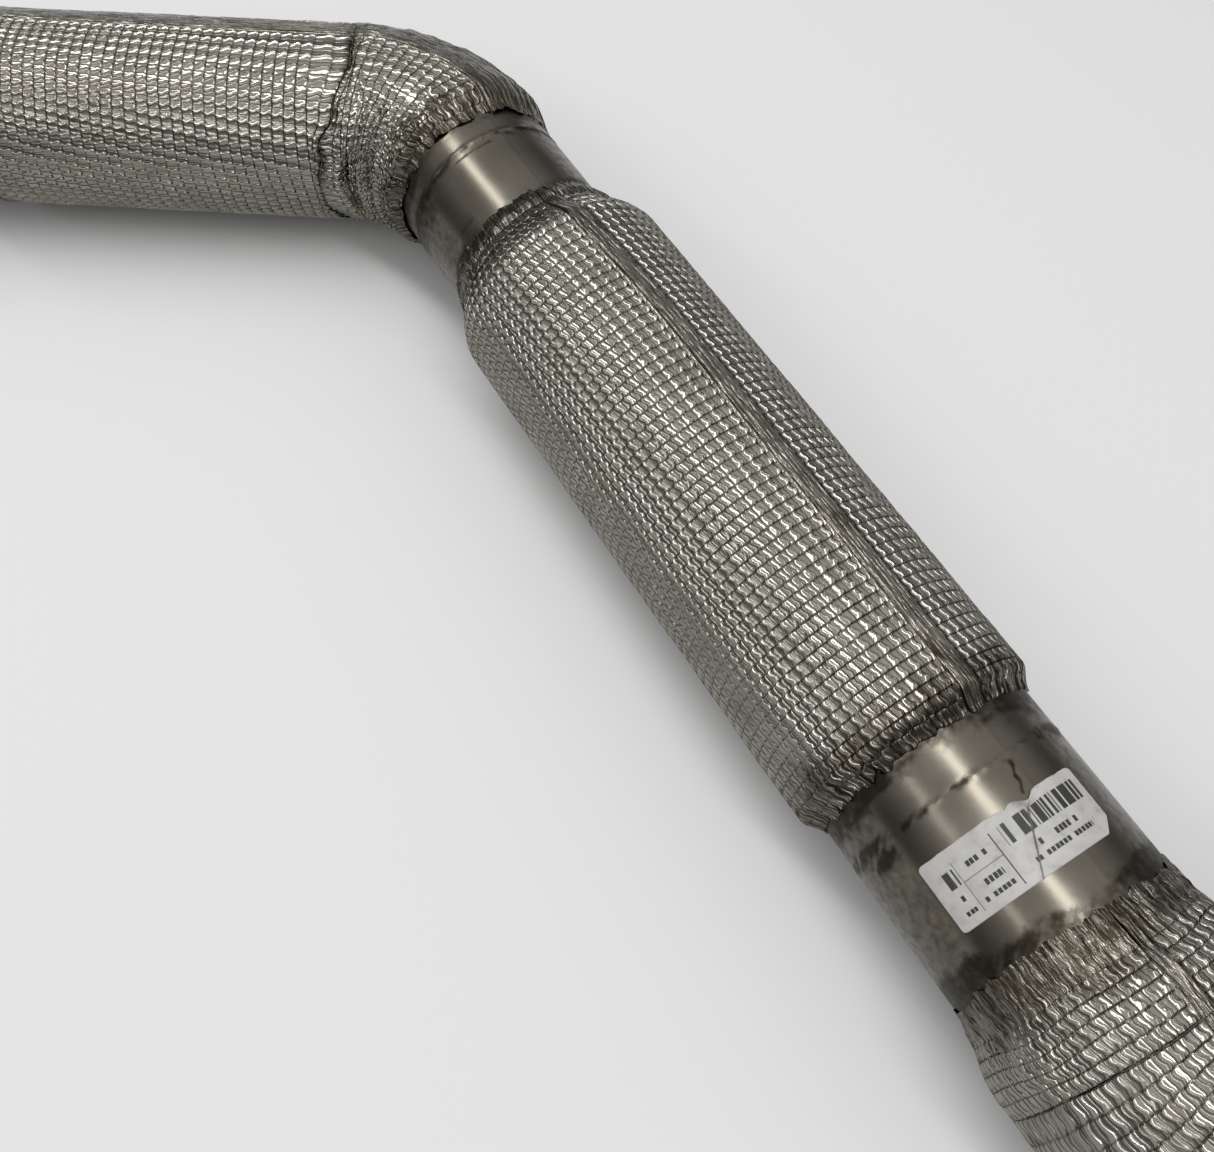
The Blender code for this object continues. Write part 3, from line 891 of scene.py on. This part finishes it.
def label_outline(down, across):
    """A rectangle's points, moved so that it has round corners, one snipped, and a torn edge."""
    half_d, half_a = LABEL_LENGTH / 2, LABEL_WIDTH / 2
    over_d = np.maximum(np.abs(down - half_d) - (half_d - LABEL_CORNER), 0)
    over_a = np.maximum(np.abs(across - half_a) - (half_a - LABEL_CORNER), 0)
    reach = np.maximum(np.hypot(over_d, over_a), LABEL_CORNER)
    pull = np.where((over_d > 0) & (over_a > 0), LABEL_CORNER / reach, 1)
    d = down - np.sign(down - half_d) * over_d * (1 - pull)
    a = across - np.sign(across - half_a) * over_a * (1 - pull)
    a = a + 2.6 * MM * near(down, 50.5 * MM, 3.2 * MM) * ease(1 - across / (6 * MM))
    a = a + 1.1 * MM * near(down, 40.5 * MM, 1.6 * MM) * ease(1 - across / (6 * MM))
    a = a + 0.25 * MM * patches(down, 0 * down, 4, 1, 3) * ease(1 - across / (3 * MM))
    past = down + across - (LABEL_LENGTH + LABEL_WIDTH)
    snip = 0.5 * np.maximum(past + 6.4 * MM, 0) * ease((past + 7.2 * MM) / (1.2 * MM))
    return d - snip, a - snip


def add_label():
    """The torn and creased paper label on the bare band."""
    down, across = np.meshgrid(np.linspace(0, LABEL_LENGTH, LABEL_ROWS),
                               np.linspace(0, LABEL_WIDTH, LABEL_COLUMNS), indexing="ij")
    d, a = label_outline(down, across)
    crease = down - (37 * MM + (27 * MM - across) * 0.5)
    lift = 0.35 * MM * near(crease, 0, 0.7 * MM) + 0.12 * MM * near(crease, 2.2 * MM, 1.2 * MM)
    lift += 0.5 * MM * near(down, 50 * MM, 3 * MM) * ease(1 - across / (5 * MM))
    lift += 0.06 * MM * patches(down, across, 6, 5, 8)
    radius = LARGE_R + LABEL_LIFT + lift
    radius[[0, -1], :] -= LABEL_TUCK
    radius[:, [0, -1]] -= LABEL_TUCK
    points = skin_points(LABEL_START + a, LABEL_TOP - d / LARGE_R, radius)
    grime = 0.75 * near(crease, 0.5 * MM, 0.5 * MM) * ease((across - 2 * MM) / (6 * MM))
    grime += 0.55 * near(down, 47.5 * MM, 3 * MM) * ease(1 - across / (9 * MM))
    grime += 0.3 * ease(patches(down, across, 5, 4, 12) - 0.15)
    values = {"ink": label_ink(down, across), "stain": np.clip(grime, 0, 1)}
    mesh = mesh_from("part_label_paper", points, grid_faces(*down.shape), values)
    add_piece("part_label_paper", mesh, LABEL_MATERIAL, "part_label")


# ---- flanges ------------------------------------------------------------------------------

FLANGE_STEPS = 256
# The flange's length along the pipe, in mm.
FLANGE_DEPTH = 14.0
SHARP_TURN = math.radians(28)
PROFILE_SHARES = np.array([0, 0.25, 0.5, 0.75])[None, :, None]


def flange_profile(tube_r, lip_r):
    """The outline as turned: depth from the sealing face in mm, and radius in metres."""
    inner = tube_r - WALL
    hub = tube_r + 1.9 * MM
    return np.array([
        (FLANGE_DEPTH, inner), (0.5, inner), (0.0, inner + 0.5 * MM),
        (0.0, tube_r + 0.6 * MM), (0.0, lip_r - 0.4 * MM), (0.4, lip_r), (2.6, lip_r),
        (3.0, lip_r - 0.3 * MM), (3.3, lip_r - 1.0 * MM), (5.6, hub + 0.35 * MM), (6.2, hub),
        (7.6, hub - 0.3 * MM), (9.0, tube_r + 0.6 * MM), (10.2, tube_r + 0.1 * MM),
        (FLANGE_DEPTH, tube_r + 0.05 * MM),
    ])


def add_flange(name, station, outward, tube_r, lip_r, node):
    """A turned V-band flange: its sealing face, clamp cone, neck and bore."""
    profile = flange_profile(tube_r, lip_r)
    steps = np.roll(profile, -1, axis=0) - profile
    profile = (profile[:, None] + steps[:, None] * PROFILE_SHARES).reshape(-1, 2)
    around = np.linspace(0, math.tau, FLANGE_STEPS, endpoint=False)
    d, a = np.meshgrid(profile[:, 0] * MM, around, indexing="ij")
    r = np.broadcast_to(profile[:, 1:], d.shape)
    points = skin_points(station + outward * d, a, r)
    stain = np.clip(0.35 * ease(d / (9 * MM)) + 0.25 * turned_patches(d, a, 5, 9, 21), 0, 1)
    faces = grid_faces(*d.shape, wrap=True)
    if outward > 0:
        faces = faces[:, ::-1]
    mesh = mesh_from(name, points, faces, {"stain": stain})
    mesh.set_sharp_from_angle(angle=SHARP_TURN)
    add_piece(name, mesh, FLANGE_MATERIAL, node)


# ---- the pieces ---------------------------------------------------------------------------

FRONT_SEAM = math.radians(-15)
MIDDLE_SEAM = math.radians(-8.5)
REAR_SEAM = math.radians(-1)
SMALL_COLLAR = SMALL_R + 0.6 * MM
LARGE_COLLAR = LARGE_R + 0.6 * MM
WIDE_STRIP = 24 * MM
NARROW_STRIP = 6 * MM
TUBE_INSET = 14.2 * MM
FRONT_TUBE_JOINT = inlet(70)
REAR_TUBE_JOINT = outlet(75)


def add_jacket(name, rings, seam, seed, **look):
    """A jacket's two half shells, which meet at the seam and opposite it."""
    for side in ("right", "left"):
        add_foil(f"{name}_{side}_foil", rings, seam, side, seed, **look)
        seed += 50


# A jacket's rings give its outline: the station, and the foil's radius there. Neighbours stop
# 0.2 mm short of the joint between them.
add_jacket("inlet_jacket", [
    (inlet(262), SMALL_COLLAR), (inlet(256), SMALL_COLLAR + MM), (inlet(244), SMALL_JACKET_R),
    (inlet(47.2), SMALL_JACKET_R),
], FRONT_SEAM, 1, tilt=0.19, stretch=0.5, strip=WIDE_STRIP, joints=(0, 1))
add_jacket("front_elbow_jacket", [
    (inlet(46.8), SMALL_JACKET_R), (middle(33), SMALL_JACKET_R), (middle(48), SMALL_COLLAR),
], FRONT_SEAM, 101, crumple=1.25, stretch=1.35, strip=WIDE_STRIP, joints=(1, 0), folds=1.4)
add_jacket("middle_jacket", [
    (middle(106), SMALL_COLLAR), (middle(115), 48.0 * MM), (middle(140), LARGE_JACKET_R),
    (middle(421), LARGE_JACKET_R), (middle(432), LARGE_COLLAR),
], MIDDLE_SEAM, 201, seam_sweep=6)
add_jacket("rear_jacket", [
    (middle(515), LARGE_COLLAR), (middle(527), 52.6 * MM), (middle(549), LARGE_JACKET_R),
    (middle(560.3), LARGE_JACKET_R),
], REAR_SEAM, 301, crumple=0.8, stretch=0.9, tilt=-0.2, strip=NARROW_STRIP, joints=(0, 0.12))
add_jacket("rear_elbow_jacket", [
    (middle(560.7), LARGE_JACKET_R), (outlet(53.8), LARGE_JACKET_R),
], REAR_SEAM, 401, crumple=0.7, stretch=1.1, folds=0.7, strip=NARROW_STRIP,
    joints=(0.12, 0.12))
add_jacket("outlet_jacket", [
    (outlet(54.2), LARGE_JACKET_R), (outlet(150), LARGE_JACKET_R), (outlet(164), LARGE_COLLAR),
], REAR_SEAM, 501, tilt=0.1, stretch=0.5, joints=(0.12, 0))

add_tube("inlet_pipe", TUBE_INSET, FRONT_TUBE_JOINT, SMALL_R, "inlet_tube")
add_tube("front_elbow_pipe", FRONT_TUBE_JOINT, FRONT_WELD, SMALL_R, "front_elbow_tube")
add_tube("middle_pipe", FRONT_WELD, middle(169.85), SMALL_R, "middle_tube")
add_tube("label_pipe", middle(210.15), REAR_WELD, LARGE_R, "label_tube")
add_tube("rear_elbow_pipe", REAR_WELD, REAR_TUBE_JOINT, LARGE_R, "rear_elbow_tube")
add_tube("outlet_pipe", REAR_TUBE_JOINT, ROUTE_END - TUBE_INSET, LARGE_R, "outlet_tube")
add_flange("inlet_clamp_flange", 0, 1, SMALL_R, 51.4 * MM, "inlet_flange")
add_flange("outlet_clamp_flange", ROUTE_END, -1, LARGE_R, 56.9 * MM, "outlet_flange")
add_label()
for node in ("inlet_mat", "front_elbow_mat", "middle_mat", "rear_mat", "rear_elbow_mat",
             "outlet_mat"):
    bpy.data.objects[node].material_slots[0].material = MAT_MATERIAL
bpy.data.objects["expander_cone"].material_slots[0].material = TUBE_MATERIAL


# ---- stage --------------------------------------------------------------------------------

CAMERA_OFFSET = np.array([0.1330, -0.5237, 0.5073])
CAMERA_AZIMUTH = math.radians(-4.45)
CAMERA_ELEVATION = math.radians(63.41)
CAMERA_ROLL = math.radians(-0.49)
LENS = 37.07
# The strip lights' length, and the turn and centre of the first one, which runs over the
# middle of the pipe.
LIGHT_LENGTH = 4.4
LIGHT_TURN = math.radians(-37)
LIGHT_PLACE = (-0.5, 0.38, 2.05)
HORIZON_GLOW = 0.15
ZENITH_GLOW = 0.88
FLOOR_HALF = 4.0


def add_camera():
    """The photo's viewpoint, placed from the front corner of the pipe."""
    data = bpy.data.cameras.new("camera")
    data.sensor_width = 36
    data.lens = LENS
    data.clip_start = 0.01
    camera = bpy.data.objects.new("camera", data)
    turn = Matrix.Rotation(-CAMERA_AZIMUTH, 4, "Z")
    tilt = Matrix.Rotation(math.pi / 2 - CAMERA_ELEVATION, 4, "X")
    roll = Matrix.Rotation(CAMERA_ROLL, 4, "Z")
    camera.matrix_world = Matrix.Translation(FRONT_CORNER + CAMERA_OFFSET) @ turn @ tilt @ roll
    bpy.context.scene.collection.objects.link(camera)
    bpy.context.scene.camera = camera


def add_strip_light(name, sideways, width, power):
    """A long strip light overhead, a distance sideways of the place for lights."""
    data = bpy.data.lights.new(name, "AREA")
    data.shape = "RECTANGLE"
    data.size, data.size_y = LIGHT_LENGTH, width
    data.energy = power
    light = bpy.data.objects.new(name, data)
    turn = Matrix.Rotation(LIGHT_TURN, 4, "Z")
    aside = Matrix.Translation((0, sideways, 0))
    light.matrix_world = Matrix.Translation(LIGHT_PLACE) @ turn @ aside
    bpy.context.scene.collection.objects.link(light)


def add_floor():
    """A large plain floor at height zero, where the CAD solids stand."""
    corners = np.array([[-1, -1, 0], [1, -1, 0], [1, 1, 0], [-1, 1, 0]]) * FLOOR_HALF
    mesh = mesh_from("floor", corners, np.array([[0, 1, 2, 3]]), {})
    floor = bpy.data.objects.new("floor", mesh)
    mesh.materials.append(floor_material())
    bpy.context.scene.collection.objects.link(floor)


def add_world():
    """A soft studio all round, dim at the horizon and brighter overhead."""
    world = bpy.data.worlds.new("studio")
    bpy.context.scene.world = world
    world.use_nodes = True
    nodes, links = world.node_tree.nodes, world.node_tree.links
    direction = nodes.new("ShaderNodeTexCoord")
    split = nodes.new("ShaderNodeSeparateXYZ")
    links.new(direction.outputs["Generated"], split.inputs["Vector"])
    glow = range_node(nodes, links, split.outputs["Z"], (0.1, 0.95), (HORIZON_GLOW, ZENITH_GLOW))
    nodes["Background"].inputs["Color"].default_value = (1, 1, 1, 1)
    links.new(glow, nodes["Background"].inputs["Strength"])


add_camera()
add_floor()
add_world()
add_strip_light("key_strip", 0, 0.28, 31)
add_strip_light("far_strip", -1.71, 0.20, 13)
bpy.context.scene.view_settings.view_transform = "Standard"
